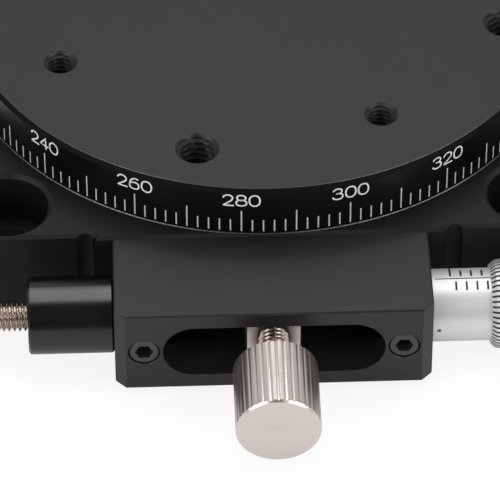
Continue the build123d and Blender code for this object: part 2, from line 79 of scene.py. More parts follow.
WHITE = (1.0, 1.0, 1.0, 1.0)

Array = np.ndarray
Socket = bpy.types.NodeSocket
Pair = tuple[float, float]
Triple = tuple[float, float, float]


# ---------------- axes of the stage


@dataclass(frozen=True)
class TurningAxis:
    """An axis that pieces are turned about, with the two directions that its angle runs through."""

    origin: Triple
    along: Triple
    start: Triple
    quarter: Triple

    def place(self, distance: Array, radius: Array, angle: Array) -> Array:
        """Points at a distance along the axis, a radius from it and an angle around it.

        Args:
            distance: millimetres along the axis from its origin.
            radius: millimetres from the axis.
            angle: radians from the start direction towards the quarter direction.

        Returns:
            An array of the common shape with a last axis of x, y and z.
        """
        distance, radius, angle = np.broadcast_arrays(distance, radius, angle)
        return (
            np.array(self.origin)
            + distance[..., None] * np.array(self.along)
            + (radius * np.cos(angle))[..., None] * np.array(self.start)
            + (radius * np.sin(angle))[..., None] * np.array(self.quarter)
        )

    def extent(self, node: str) -> Pair:
        """Lowest and highest distance along the axis that a CAD node reaches at rest."""
        reach = [float(np.dot(np.array(corner) / MM - self.origin, self.along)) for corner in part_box(node)]
        return min(reach), max(reach)


TABLE_AXIS = TurningAxis((0, 0, 0), (0, 0, 1), (0, -1, 0), (1, 0, 0))
DRIVE_AXIS = TurningAxis((0, -35.1, 5.4), (1, 0, 0), (0, -1, 0), (0, 0, -1))
LOCK_AXIS = TurningAxis((0, 0, 5.4), (0, -1, 0), (1, 0, 0), (0, 0, 1))
PRELOAD_AXIS = TurningAxis(DRIVE_AXIS.origin, (-1, 0, 0), (0, -1, 0), (0, 0, 1))


# ---------------- shader node groups


class Nodes:
    """Short way to add nodes and links to one node tree."""

    def __init__(self, tree: NodeTree) -> None:
        """Keep the tree and empty it."""
        self.tree = tree
        tree.nodes.clear()

    def add(self, kind: str, **values: object) -> Node:
        """Add a node, set its properties, and set or link its inputs.

        Args:
            kind: the node's type name without the leading ShaderNode.
            **values: a property of the node, or an input by name with _ for a space.

        Returns:
            The new node.
        """
        node = self.tree.nodes.new(f"ShaderNode{kind}")
        for key, value in values.items():
            if hasattr(node, key):
                setattr(node, key, value)
            else:
                self.feed(node.inputs[key.replace("_", " ")], value)
        return node

    def feed(self, target: Socket, value: object) -> None:
        """Link a socket to the target, or set the target's own value."""
        if isinstance(value, bpy.types.NodeSocket):
            self.tree.links.new(value, target)
        else:
            target.default_value = value

    def math(self, operation: str, first: object, second: object = 0.0) -> Socket:
        """Add a Math node and return its result."""
        node = self.add("Math", operation=operation)
        self.feed(node.inputs[0], first)
        self.feed(node.inputs[1], second)
        return node.outputs[0]

    def blend(self, first: Socket, share: object, second: Socket, other_share: object) -> Socket:
        """Add two values, each times its own share."""
        parts = self.math("MULTIPLY", first, share), self.math("MULTIPLY", second, other_share)
        return self.math("ADD", *parts)

    def vector_math(self, operation: str, first: object, second: object = None) -> Node:
        """Add a Vector Math node of one or two vectors and return it."""
        node = self.add("VectorMath", operation=operation)
        self.feed(node.inputs[0], first)
        if second is not None:
            self.feed(node.inputs[1], second)
        return node

    def centred(self, place: Socket, centre: Triple) -> Socket:
        """Take a centre in millimetres from a place in metres."""
        return self.vector_math("SUBTRACT", place, tuple(v * MM for v in centre)).outputs[0]

    def ranged(self, value: Socket, low: float, high: float, to_low: float, to_high: float) -> Socket:
        """Map a value from one range to another, held at both ends."""
        node = self.add("MapRange", Value=value, From_Min=low, From_Max=high, To_Min=to_low, To_Max=to_high)
        return node.outputs[0]

    def show(self, kind: str, shader: Socket) -> None:
        """Add an output node and link a shader to its surface."""
        self.feed(self.add(kind).inputs["Surface"], shader)


def open_group(name: str, size_label: str, size: float) -> tuple[Nodes, Socket, Socket]:
    """Start a shader node group with a place and a size as its inputs.

    Args:
        name: the group's name.
        size_label: the size input's name.
        size: the size input's first value.

    Returns:
        The group's nodes, its place and its size.
    """
    tree = bpy.data.node_groups.new(name, "ShaderNodeTree")
    tree.interface.new_socket("Place", in_out="INPUT", socket_type="NodeSocketVector")
    tree.interface.new_socket(size_label, in_out="INPUT", socket_type="NodeSocketFloat").default_value = size
    nodes = Nodes(tree)
    source = tree.nodes.new("NodeGroupInput")
    return nodes, source.outputs["Place"], source.outputs[size_label]


def close_group(nodes: Nodes, results: dict[str, Socket]) -> NodeTree:
    """Give a group an output for each result, and return its tree."""
    for label in results:
        nodes.tree.interface.new_socket(label, in_out="OUTPUT", socket_type="NodeSocketFloat")
    target = nodes.tree.nodes.new("NodeGroupOutput")
    for label, socket in results.items():
        nodes.tree.links.new(socket, target.inputs[label])
    return nodes.tree


class Effects:
    """The three surface effects that the finishes share, each built once as a node group.

    Their sizes are given in millimetres, and their noise has a scale in waves to the metre.
    """

    def __init__(self) -> None:
        """Build the groups."""
        self.grain = self._grain()
        self.turning = self._turning()
        self.handling = self._handling()

    @staticmethod
    def _grain() -> NodeTree:
        """Fine grain of a blasted or moulded surface: two octaves of noise.

        Height is the mean of a fine and a coarser noise; Speckle is the fine one, held between 0 and 1.
        """
        coarseness, fine_share, speckle_low, speckle_high = 4.0, 0.6, 0.35, 0.65
        nodes, place, size = open_group("fine_grain", "Size mm", 0.1)
        scale = nodes.math("DIVIDE", PER_METRE, size)
        fine = nodes.add("TexNoise", Vector=place, Scale=scale, Detail=2.0, Roughness=0.6)
        wide = nodes.math("DIVIDE", scale, coarseness)
        coarse = nodes.add("TexNoise", Vector=place, Scale=wide, Detail=1.0)
        mean = nodes.blend(fine.outputs[0], fine_share, coarse.outputs[0], 1.0 - fine_share)
        speckle = nodes.ranged(fine.outputs[0], speckle_low, speckle_high, 0.0, 1.0)
        return close_group(nodes, {"Height": mean, "Speckle": speckle})

    @staticmethod
    def _turning() -> NodeTree:
        """Fine rings that a lathe leaves, for an axis along X through the point 0.

        Height is the sine of the distance along the axis plus the distance from it, so that it gives lines
        around a shank and rings on a face.  A noise along the same run makes the rings uneven.
        """
        uneven_per_mm, wave_share = 9.0, 0.25
        nodes, place, pitch = open_group("turning_rings", "Pitch mm", 0.1)
        split = nodes.add("SeparateXYZ", Vector=place)
        along, y, z = split.outputs
        run = nodes.math("ADD", nodes.math("SQRT", nodes.blend(y, y, z, z)), along)
        uneven = nodes.add("TexNoise", noise_dimensions="1D", W=run, Scale=uneven_per_mm * PER_METRE,
                           Detail=2.0)
        phase = nodes.math("MULTIPLY", run, nodes.math("DIVIDE", PER_METRE * TURN, pitch))
        wave = nodes.math("MULTIPLY", nodes.math("SINE", phase), wave_share)
        return close_group(nodes, {"Height": nodes.math("ADD", wave, uneven.outputs[0])})

    @staticmethod
    def _handling() -> NodeTree:
        """Slow change of gloss and shade that handling leaves: one wide noise, held between 0 and 1."""
        cloud_low, cloud_high = 0.3, 0.7
        nodes, place, size = open_group("handling", "Size mm", 8.0)
        scale = nodes.math("DIVIDE", PER_METRE, size)
        noise = nodes.add("TexNoise", Vector=place, Scale=scale, Detail=3.0, Roughness=0.55)
        return close_group(nodes, {"Cloud": nodes.ranged(noise.outputs[0], cloud_low, cloud_high, 0.0, 1.0)})


class Lay(Enum):
    """The way a machined finish lies: not turned, or an axis's place and the turn that brings it onto X."""

    NONE = None
    TABLE = (TABLE_AXIS.origin, (0.0, math.pi / 2, 0.0))
    DRIVE = (DRIVE_AXIS.origin, (0.0, 0.0, 0.0))
    LOCK = (LOCK_AXIS.origin, (0.0, 0.0, math.pi / 2))


@dataclass(frozen=True)
class OilRing:
    """Painted shade and reflection round a screw that runs along Y: full inside the inner radius, gone past
    the outer one.
    """

    centre: Triple
    inner: float
    outer: float
    shade: float

    def over(self, nodes: Nodes, place: Socket, unshaded: Socket) -> Socket:
        """Darken a colour by the distance from the screw's axis in X and Z.

        Args:
            nodes: the material's nodes.
            place: Object coordinates.
            unshaded: the colour without the painted shade.

        Returns:
            The colour with the painted ring of shade on it.
        """
        flat = nodes.vector_math("MULTIPLY", nodes.centred(place, self.centre), (1.0, 0.0, 1.0)).outputs[0]
        distance = nodes.vector_math("LENGTH", flat).outputs["Value"]
        share = nodes.ranged(distance, self.inner * MM, self.outer * MM, self.shade, 1.0)
        scaled = nodes.vector_math("SCALE", unshaded)
        nodes.feed(scaled.inputs["Scale"], share)
        return scaled.outputs[0]


@dataclass(frozen=True)
class Finish:
    """One surface finish: base colour, gloss, grain and the lay of its machining."""

    name: str
    colour: Triple
    roughness: float
    metallic: float = 0.0
    level: float = 0.5
    colour_spread: float = 0.06
    roughness_spread: float = 0.05
    grain_mm: float = 0.12
    grain_um: float = 1.0
    cloud_mm: float = 9.0
    lay: Lay = Lay.NONE
    lay_mm: float = 0.1
    lay_um: float = 0.0
    # painted shade and reflection round a screw, darkening the base colour
    oil: OilRing | None = None

    def material(self, effects: Effects) -> Material:
        """Build the material, or return it if it's already there.

        Args:
            effects: the shared node groups.

        Returns:
            A Principled material on Object coordinates.
        """
        known = bpy.data.materials.get(self.name)
        if known:
            return known
        material = bpy.data.materials.new(self.name)
        material.use_nodes = True
        nodes = Nodes(material.node_tree)
        place = nodes.add("TexCoord").outputs["Object"]
        grain = self._group(nodes, effects.grain, place, "Size mm", self.grain_mm)
        cloud = self._group(nodes, effects.handling, place, "Size mm", self.cloud_mm).outputs["Cloud"]
        shader = nodes.add("BsdfPrincipled", Metallic=self.metallic, Specular_IOR_Level=self.level)
        colour = self._colour(nodes, grain.outputs["Speckle"], cloud)
        # where there is a painted shade ring, it darkens the base colour
        nodes.feed(shader.inputs["Base Color"], self.oil.over(nodes, place, colour) if self.oil else colour)
        rough = nodes.ranged(cloud, 0.0, 1.0, self.roughness - self.roughness_spread,
                             self.roughness + self.roughness_spread)
        nodes.feed(shader.inputs["Roughness"], rough)
        nodes.feed(shader.inputs["Normal"], self._normal(nodes, effects, place, grain.outputs["Height"]))
        nodes.show("OutputMaterial", shader.outputs["BSDF"])
        return material

    @staticmethod
    def _group(nodes: Nodes, tree: NodeTree, place: Socket, label: str,
               value: float) -> Node:
        """Put one shared group into the material with its own value."""
        node = nodes.add("Group", node_tree=tree, Place=place)
        node.inputs[label].default_value = value
        return node

    def _colour(self, nodes: Nodes, speckle: Socket, cloud: Socket) -> Socket:
        """Base colour, a little lighter and darker by the fine speckle and the slow cloud.

        Args:
            nodes: the material's nodes.
            speckle: the fine noise.
            cloud: the slow noise.

        Returns:
            The colour.
        """
        mix = nodes.add("Mix", data_type="RGBA")
        nodes.feed(mix.inputs["Factor"], nodes.blend(speckle, 0.5, cloud, 0.5))
        nodes.feed(mix.inputs[6], (*(c * (1 - self.colour_spread) for c in self.colour), 1.0))
        nodes.feed(mix.inputs[7], (*(min(1.0, c * (1 + self.colour_spread)) for c in self.colour), 1.0))
        return mix.outputs[2]

    def _normal(self, nodes: Nodes, effects: Effects, place: Socket, grain: Socket) -> Socket:
        """Bump of the grain, and on top of it the bump of the turning rings.

        Args:
            nodes: the material's nodes.
            effects: the shared node groups.
            place: Object coordinates.
            grain: the grain's height.

        Returns:
            The normal.
        """
        bump = nodes.add("Bump", Height=grain, Distance=self.grain_um * UM, Strength=1.0)
        if self.lay is Lay.NONE:
            return bump.outputs[0]
        origin, turn = self.lay.value
        onto_x = nodes.add("VectorRotate", rotation_type="EULER_XYZ", Vector=nodes.centred(place, origin),
                           Rotation=turn)
        rings = self._group(nodes, effects.turning, onto_x.outputs[0], "Pitch mm", self.lay_mm)
        second = nodes.add("Bump", Height=rings.outputs["Height"], Distance=self.lay_um * UM, Strength=1.0,
                           Normal=bump.outputs[0])
        return second.outputs[0]


ANODISED = Finish("black_anodised", (0.0110, 0.0098, 0.0114), 0.42, level=0.40, grain_mm=0.09, grain_um=1.6)
# Darker copy of the black anodise for the base plate: the darker colour is painted shade under the table's
# rim.
ANODISED_BASE_SHADED = Finish("black_anodised_base_shaded", (0.006, 0.0058, 0.006), 0.52, level=0.26, grain_mm=0.09,
                       grain_um=1.6)
EDGE_BREAK = Finish("black_edge_break", (0.002, 0.0019, 0.0019), 0.60, level=0.08)
# Darker copy of the black anodise for the table's turned rim: the darker colour is painted shade.
ANODISED_RIM_SHADED = Finish("black_anodised_turned_shaded", (0.0022, 0.002, 0.002), 0.36, level=0.32, grain_mm=0.09,
                      grain_um=0.6, lay=Lay.TABLE, lay_mm=0.12, lay_um=0.3)
BARREL_BLACK = Finish("black_gloss", (0.0022, 0.002, 0.0022), 0.25, level=0.47, grain_mm=0.1, grain_um=0.5,
                      lay=Lay.DRIVE, lay_mm=0.09, lay_um=0.2)
SATIN_CHROME = Finish("pearl_chrome", (0.68, 0.68, 0.685), 0.44, metallic=0.5, colour_spread=0.02,
                      grain_mm=0.07, grain_um=1.2, lay=Lay.DRIVE, lay_mm=0.06, lay_um=0.2)
SATIN_NICKEL = Finish("satin_nickel_lock", (0.67, 0.595, 0.57), 0.32, metallic=1.0, colour_spread=0.03,
                      grain_um=0.8, lay=Lay.LOCK, lay_mm=0.11, lay_um=0.4)
SATIN_NICKEL_PRELOAD = replace(SATIN_NICKEL, name="satin_nickel_preload", lay=Lay.DRIVE)
# The dark ring round the lock stud on the bar is painted shade and a painted reflection of the stud.
BAR_NICKEL = Finish("nickel_plated_bar", (0.68, 0.60, 0.565), 0.20, metallic=1.0, grain_mm=0.1, grain_um=1.2,
                    oil=OilRing(LOCK_AXIS.origin, 1.5, 2.5, 0.12))
THREAD_STEEL = Finish("thread_steel", (0.50, 0.42, 0.37), 0.24, metallic=1.0, grain_mm=0.06, grain_um=0.8)
GROUND_STEEL = Finish("ground_steel", (0.56, 0.56, 0.57), 0.24, metallic=1.0, grain_mm=0.05, grain_um=0.5)
SPRING_STEEL = Finish("sprung_wire", (0.40, 0.39, 0.38), 0.32, metallic=1.0, grain_mm=0.05, grain_um=0.5)
BLACK_OXIDE = Finish("black_oxide", (0.022, 0.019, 0.0185), 0.38, level=0.6, grain_mm=0.08)
BRASS = Finish("turned_brass", (0.72, 0.50, 0.20), 0.30, metallic=1.0, grain_mm=0.08, grain_um=0.8)
POLYMER = Finish("pale_polymer", (0.72, 0.70, 0.65), 0.50, grain_mm=0.1, grain_um=1.5)
WORN_EDGE = Finish("worn_edge", (0.105, 0.10, 0.098), 0.40, metallic=1.0, colour_spread=0.7, grain_mm=0.25,
                   grain_um=1.5)
WHITE_FILL = Finish("white_scale_fill", (0.84, 0.83, 0.81), 0.55, grain_mm=0.06)
GREY_FILL = Finish("grey_tick_fill", (0.67, 0.66, 0.63), 0.55, grain_mm=0.06)
BLACK_FILL = Finish("black_scale_fill", (0.008, 0.008, 0.008), 0.5, grain_mm=0.06)


# ---------------- surfaces


def linked(name: str, data: ID) -> Object:
    """Make an object of a mesh, a camera or a lamp, and put it into the scene."""
    thing = bpy.data.objects.new(name, data)
    bpy.context.scene.collection.objects.link(thing)
    return thing


@dataclass
class Skin:
    """Patches of one piece, in millimetres, that become one smooth-shaded mesh."""

    name: str
    points: list[Array] = field(default_factory=list)
    faces: list[Array] = field(default_factory=list)
    count: int = 0

    def add(self, points: Array, faces: Array) -> None:
        """Add a patch: points as rows of x, y, z, and faces as rows of point numbers."""
        flat = points.reshape(-1, 3)
        self.points.append(flat)
        self.faces.append(faces + self.count)
        self.count += len(flat)

    def grid(self, points: Array, wrap_rows: bool = False, wrap_columns: bool = False) -> None:
        """Add a grid of points as four-sided faces between neighbours.

        Args:
            points: an array of rows, columns and x, y, z, with any leading axes for copies.
            wrap_rows: join the last row to the first.
            wrap_columns: join the last column to the first.
        """
        rows, columns = points.shape[-3:-1]
        copies = points.reshape(-1, rows * columns, 3)
        row = np.arange(rows if wrap_rows else rows - 1)[:, None]
        column = np.arange(columns if wrap_columns else columns - 1)[None, :]
        next_row, next_column = (row + 1) % rows, (column + 1) % columns
        loop = [row * columns + column, row * columns + next_column,
                next_row * columns + next_column, next_row * columns + column]
        quads = np.stack(np.broadcast_arrays(*loop), axis=-1).reshape(-1, 4)
        shift = (np.arange(len(copies)) * rows * columns)[:, None, None]
        self.add(copies, (quads[None] + shift).reshape(-1, 4))

    def piece(self, material: Material, body: str, slot: str,
              sharp: float = 32.0) -> Object:
        """Weld the patches into one mesh, turn it outwards, shade it and let it ride on a body.

        Args:
            material: the finish's material.
            body: the CAD body that the piece moves with.
            slot: not used.
            sharp: edges over this angle in degrees stay sharp.

        Returns:
            The new object, at the origin.
        """
        mesh = bpy.data.meshes.new(self.name)
        faces = [tuple(dict.fromkeys(face)) for block in self.faces for face in block.tolist()]
        mesh.from_pydata((np.concatenate(self.points) * MM).tolist(), [], faces)
        shape = bmesh.new()
        shape.from_mesh(mesh)
        bmesh.ops.remove_doubles(shape, verts=shape.verts, dist=WELD_MM * MM)
        bmesh.ops.dissolve_degenerate(shape, edges=shape.edges, dist=WELD_MM * MM * SLIVER_SHARE)
        bmesh.ops.recalc_face_normals(shape, faces=shape.faces)
        shape.to_mesh(mesh)
        shape.free()
        mesh.shade_smooth()
        mesh.set_sharp_from_angle(angle=math.radians(sharp))
        mesh.materials.append(material)
        thing = linked(self.name, mesh)
        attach(thing, body)
        LOG.info("%s: %d faces on %s", self.name, len(mesh.polygons), body)
        return thing


def turned(axis: TurningAxis, profile: Array, segments: int) -> Array:
    """Grid of a turned surface: each profile point (distance, radius) runs once around the axis."""
    angle = np.arange(segments) * TURN / segments
    return axis.place(profile[:, None, 0], profile[:, None, 1], angle[None, :])


def pierced_face(skin: Skin, outline: Array, holes: list[Array], height: float) -> None:
    """Add a flat horizontal face with holes, as triangles between its outline and the holes' edges.

    Args:
        skin: the piece that gets the face.
        outline: the outer edge's points in the plane.
        holes: each hole's edge points in the plane.
        height: the face's height.
    """
    edges = [outline, *holes]
    loops = [[Vector((x, y, 0.0)) for x, y in edge] for edge in edges]
    flat = np.concatenate(edges)
    triangles = np.array(tessellate_polygon(loops))
    skin.add(np.column_stack([flat, np.full(len(flat), height)]), triangles)


def thread(along: Array, pitch: float, base: float, peak: float, shares: Pair) -> Array:
    """Radius of a single-start thread with flat peaks, straight flanks and flat troughs.

    Args:
        along: a column of millimetres along the axis.
        pitch: the thread's pitch.
        base: radius in the troughs.
        peak: radius on the peaks.
        shares: shares of the pitch that the peaks and the troughs take.

    Returns:
        A row of radii around the axis for each place along it.
    """
    phase = along / pitch - THREAD_ANGLES / TURN
    offset = np.abs(phase - np.round(phase))
    top, bottom = shares[0] / 2, shares[1] / 2
    return base + (peak - base) * np.clip((0.5 - bottom - offset) / (0.5 - bottom - top), 0.0, 1.0)


# ---------------- marks


def bezier(*pull: Pair) -> Array:
    """Points of a chain of cubic curves, by the cubic Bernstein sum.

    Args:
        *pull: control points, of which the first and every third after it are on the curve.

    Returns:
        Rows of x and y.
    """
    knots = np.array(pull, float)
    t = np.linspace(0.0, 1.0, CURVE_STEPS + 1)[:-1, None]
    weights = ((1 - t) ** 3, 3 * t * (1 - t) ** 2, 3 * t * t * (1 - t), t**3)
    curves = [
        sum(weight * knot for weight, knot in zip(weights, knots[3 * k:3 * k + 4]))
        for k in range((len(knots) - 1) // 3)
    ]
    return np.concatenate([*curves, knots[-1:]])


def oval(centre: Pair, half_width: float, half_height: float) -> Array:
    """Points of a closed oval, a little squarer than an ellipse, anticlockwise from its right end.

    Args:
        centre: the middle.
        half_width: half the width.
        half_height: half the height.

    Returns:
        Rows of x and y.
    """
    angle = np.arange(OVAL_STEPS) * TURN / OVAL_STEPS
    cos, sin = np.cos(angle), np.sin(angle)
    swell = (np.abs(cos) ** SQUARENESS + np.abs(sin) ** SQUARENESS) ** (-1 / SQUARENESS)
    return np.stack([centre[0] + half_width * cos * swell, centre[1] + half_height * sin * swell], axis=-1)


# centrelines of the numerals in a box 1 wide and 1 high: (points, closed)
NUMERALS: dict[str, list[tuple[Array, bool]]] = {
    "0": [(oval((0.5, 0.5), 0.5, 0.5), True)],
    "1": [(np.array([(0.18, 0.78), (0.55, 1.0), (0.55, 0.66), (0.55, 0.33), (0.55, 0.0)]), False)],
    "2": [(bezier((0.04, 0.76), (0.14, 1.08), (0.90, 1.08), (0.93, 0.72), (0.94, 0.48), (0.50, 0.32),
                  (0.04, 0.0), (0.30, 0.0), (0.70, 0.0), (1.0, 0.0)), False)],
    "3": [(bezier((0.06, 0.82), (0.18, 1.06), (0.86, 1.06), (0.88, 0.77), (0.89, 0.56), (0.62, 0.54),
                  (0.40, 0.54)), False),
          (bezier((0.40, 0.54), (0.72, 0.55), (0.97, 0.48), (0.97, 0.27), (0.97, -0.08), (0.16, -0.10),
                  (0.0, 0.20)), False)],
    "4": [(np.array([(0.74, 0.0), (0.74, 0.33), (0.74, 0.66), (0.74, 1.0), (0.37, 0.64), (0.0, 0.28),
                     (0.5, 0.28), (1.0, 0.28)]), False)],
    "5": [(bezier((0.90, 1.0), (0.65, 1.0), (0.40, 1.0), (0.16, 1.0), (0.14, 0.85), (0.12, 0.70),
                  (0.10, 0.54), (0.40, 0.66), (0.96, 0.66), (0.96, 0.31), (0.96, -0.10), (0.14, -0.10),
                  (0.02, 0.18)), False)],
    "6": [(oval((0.5, 0.31), 0.48, 0.31), True),
          (bezier((0.86, 0.95), (0.40, 1.10), (0.02, 0.80), (0.02, 0.31)), False)],
    "8": [(oval((0.5, 0.76), 0.41, 0.24), True), (oval((0.5, 0.27), 0.49, 0.27), True)],
}


@dataclass(frozen=True)
class Lettering:
    """Sizes of a number's digits, in millimetres: a whole digit, its stroke and the space between two."""

    height: float
    width: float
    stroke: float
    gap: float


@dataclass
class Marks:
    """Filled lines and numerals on a turned surface, as thin ribbons that follow it.

    The surface is given by places along its axis and the radius at each, with straight runs between.
    """

    name: str
    axis: TurningAxis
    profile: tuple[Pair, ...]
    proud: float = 0.012
    sunk: float = 0.02

    def __post_init__(self) -> None:
        """Start the mesh, and work out the heights of a ribbon's four corners."""
        self.skin = Skin(self.name)
        self.radius = self.profile[-1][1]
        self.lift = np.array([-self.sunk, self.proud, self.proud, -self.sunk])

    def wrap(self, around: Array, along: Array) -> Array:
        """Corners of ribbons on the surface: around in radians, along in millimetres."""
        places, radii = np.array(self.profile, float).T
        return self.axis.place(along, np.interp(along, places, radii) + self.lift, around)

    def bars(self, angles: Array, start: float, end: Array | float, width: float, steps: int = 2) -> None:
        """Add straight lines along the axis, each a flat closed box.

        Args:
            angles: radians of the lines' middles.
            start: where the lines start along the axis.
            end: where each line ends.
            width: the lines' width.
            steps: stations along a line.
        """
        across = width / 2 / self.radius * SIDES
        share = np.concatenate([[0.0], np.linspace(0.0, 1.0, steps), [1.0]])
        inset = np.concatenate([[0.0], np.ones(steps), [0.0]])
        length = np.broadcast_to(end, angles.shape) - start
        rows = start + share[:, None] * length[:, None, None]
        around = angles[:, None, None] + across * inset[:, None]
        self.skin.grid(self.wrap(around, rows), wrap_columns=True)

    def line(self, path: Array, closed: bool, width: float) -> None:
        """Add a line with round ends along a path.

        Its cross-section is a thin box.  Past each end of an open path the half width falls as the
        side of a semicircle, which rounds the end.

        Args:
            path: points of (radians around, millimetres along).
            closed: the path's end joins its start.
            width: the line's width.
        """
        flat = path * np.array([self.radius, 1.0])
        half = np.full(len(flat), width / 2)
        if closed:
            tangent = np.roll(flat, -1, axis=0) - np.roll(flat, 1, axis=0)
        else:
            tangent = np.gradient(flat, axis=0)
            reach = CAP_REACH[:, None] * width / 2
            unit = tangent / np.linalg.norm(tangent, axis=1, keepdims=True)
            cap = np.sqrt(1 - CAP_REACH**2) * width / 2
            flat = np.concatenate([flat[0] - unit[0] * reach, flat, flat[-1] + unit[-1] * reach[::-1]])
            half = np.concatenate([cap, half, cap[::-1]])
            tangent = np.pad(tangent, ((len(cap), len(cap)), (0, 0)), mode="edge")
        tangent = tangent / np.linalg.norm(tangent, axis=1, keepdims=True)
        normal = np.stack([-tangent[:, 1], tangent[:, 0]], axis=-1)
        edge = flat[:, None, :] + normal[:, None, :] * (half[:, None] * SIDES)[..., None]
        points = self.wrap(edge[..., 0] / self.radius, edge[..., 1])
        self.skin.grid(points, wrap_rows=closed, wrap_columns=True)

    def number(self, text: str, angle: float, base: float, digits: Lettering, turned_by: float = 0.0) -> None:
        """Add a number, centred on an angle, that reads along the turn or along the axis.

        Args:
            text: the digits.
            angle: radians of the number's middle.
            base: the foot of the digits along the axis, or their middle where turned.
            digits: the digits' sizes.
            turned_by: radians that the number is turned on the surface.
        """
        inner = np.array([digits.width - digits.stroke, digits.height - digits.stroke])
        total = len(text) * digits.width + (len(text) - 1) * digits.gap
        foot = digits.stroke / 2 - (digits.height / 2 if turned_by else 0.0)
        cos, sin = math.cos(turned_by), math.sin(turned_by)
        rotation = np.array([[cos, sin], [-sin, cos]])
        for index, digit in enumerate(text):
            left = -total / 2 + index * (digits.width + digits.gap) + digits.stroke / 2
            for path, closed in NUMERALS[digit]:
                flat = (path * inner + np.array([left, foot])) @ rotation
                place = flat / np.array([self.radius, 1.0]) + np.array([angle, base])
                self.line(place, closed, digits.stroke)


# ---------------- sub-assemblies


@dataclass(frozen=True)
class Tapping:
    """Four tapped holes alike: radii of crest, root and mouth, pitch, and where the first one lies."""

    crest: float
    root: float
    pitch: float
    mouth: float
    circle: float
    lead_degrees: float


@dataclass
class RotaryTable:
    """Round table with its hub, threaded holes and the degree scale on its rim."""

    radius: float = 30.0
    top: float = 16.0
    bottom: float = 10.6
    rim_break: float = 0.12
    top_break: float = 0.40
    worn_width: float = 0.04
    hub_radius: float = 19.52
    hub_bottom: float = 2.6
    ring_bore: float = 16.52
    shoulder: float = 14.5
    shoulder_height: float = 9.5
    turn: float = -15.7
    m4: Tapping = Tapping(1.65, 2.03, 0.7, 2.12, 35.0 / math.sqrt(2), 0.0)
    m3: Tapping = Tapping(1.25, 1.53, 0.5, 1.66, 22.5, 45.0)
    rows_per_pitch: int = 9
    thread_shares: Pair = (0.16, 0.22)
    scale_zero: float = -285.21
    tick_foot: float = 10.79
    short_tick: float = 1.47
    long_tick: float = 2.59
    tick_width: float = 0.13
    digits: Lettering = Lettering(1.50, 1.16, 0.165, 0.10)
    digit_foot: float = 13.98

    def threaded_hole(self, skin: Skin, tapping: Tapping, quarter: int) -> Array:
        """Add one tapped hole.

        The wall's radius at a height and angle is the crests' radius, plus the thread's depth where the
        helix cuts, and never less than the 45 degree mouth at either end.

        Args:
            skin: the table's mesh.
            tapping: the hole's sizes.
            quarter: which of the four holes it is.

        Returns:
            The points of its edge in the plane.
        """
        at = math.radians(self.turn + 90 * quarter) + math.radians(tapping.lead_degrees)
        centre = (tapping.circle * math.sin(at), -tapping.circle * math.cos(at))
        rows = int(round((self.top - self.bottom) / tapping.pitch * self.rows_per_pitch))
        height = np.linspace(self.top, self.bottom, rows)[:, None]
        cut = thread(height, tapping.pitch, tapping.crest, tapping.root, self.thread_shares)
        wall = np.maximum(cut, tapping.mouth - np.minimum(self.top - height, height - self.bottom))
        x, y = centre[0] + wall * np.cos(THREAD_ANGLES), centre[1] + wall * np.sin(THREAD_ANGLES)
        points = np.stack(np.broadcast_arrays(x, y, height), axis=-1)
        skin.grid(points, wrap_columns=True)
        return points[0, :, :2]

    def build(self, effects: Effects) -> None:
        """Build the table's mesh, its edges' finishes and its scale."""
        skin = Skin("table_disc")
        pairs = [[self.threaded_hole(skin, tapping, quarter) for tapping in (self.m4, self.m3)]
                 for quarter in range(4)]
        large, small = zip(*pairs)
        edge, crown = self.radius - self.rim_break, self.radius - self.top_break
        face, foot, hub = turned(TABLE_AXIS, np.array([(0.0, crown), (0.0, edge), (0.0, self.hub_radius)]),
                                 RING_SEGMENTS)[..., :2]
        pierced_face(skin, face, [*large, *small], self.top)
        pierced_face(skin, foot, [hub, *large, *small], self.bottom)
        rim = np.array([(self.top, crown), (self.top - self.worn_width, crown + self.worn_width),
                        (self.top - self.top_break, self.radius),
                        (self.bottom + self.rim_break, self.radius), (self.bottom, edge)])
        below = np.array([(self.bottom, self.hub_radius), (self.hub_bottom, self.hub_radius),
                          (self.hub_bottom, self.ring_bore), (self.shoulder_height, self.ring_bore),
                          (self.shoulder_height, self.shoulder), (self.bottom, self.shoulder),
                          (self.bottom, 0.0)])
        for profile in (rim, below):
            skin.grid(turned(TABLE_AXIS, profile, RING_SEGMENTS), wrap_columns=True)
        disc = skin.piece(ANODISED.material(effects), "table", "black_aluminium", sharp=28.0)
        for finish in (ANODISED_RIM_SHADED, WORN_EDGE, EDGE_BREAK):
            disc.data.materials.append(finish.material(effects))
        self._dress_rim(disc.data)
        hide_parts("rotary_table")
        self._scale(effects)

    def _dress_rim(self, mesh: Mesh) -> None:
        """Give the turned rim its darker finish, which is painted shade, the slope above it a dark one, and
        both outer edges worn metal.

        Args:
            mesh: the table's mesh, with the four materials.
        """
        centre = np.zeros(len(mesh.polygons) * 3, np.float32)
        mesh.polygons.foreach_get("center", centre)
        x, y, z = centre.reshape(-1, 3).T / MM
        rim = (np.hypot(x, y) > self.radius - self.top_break) & (z > self.bottom + self.rim_break / 4)
        worn = (z > self.top - self.worn_width) | (z < self.bottom + self.rim_break)
        slope = z > self.top - self.top_break
        choice = np.select([rim & worn, rim & slope, rim], [2, 3, 1], 0).astype(np.int32)
        mesh.polygons.foreach_set("material_index", choice)

    def _scale(self, effects: Effects) -> None:
        """Lines every 2 degrees, longer ones every 10, and a number every 20."""
        surface = ((0.0, self.radius),)
        lines = Marks("table_scale_lines", TABLE_AXIS, surface)
        degrees = np.arange(0, 360, 2)
        length = np.where(degrees % 10 == 0, self.long_tick, self.short_tick)
        angles = np.radians(degrees + self.scale_zero)
        lines.bars(angles, self.tick_foot, self.tick_foot + length, self.tick_width)
        lines.skin.piece(GREY_FILL.material(effects), "table", "black_aluminium")
        numbers = Marks("table_scale_numbers", TABLE_AXIS, surface)
        for value in range(0, 360, 20):
            numbers.number(str(value), math.radians(value + self.scale_zero), self.digit_foot, self.digits)
        numbers.skin.piece(WHITE_FILL.material(effects), "table", "black_aluminium")


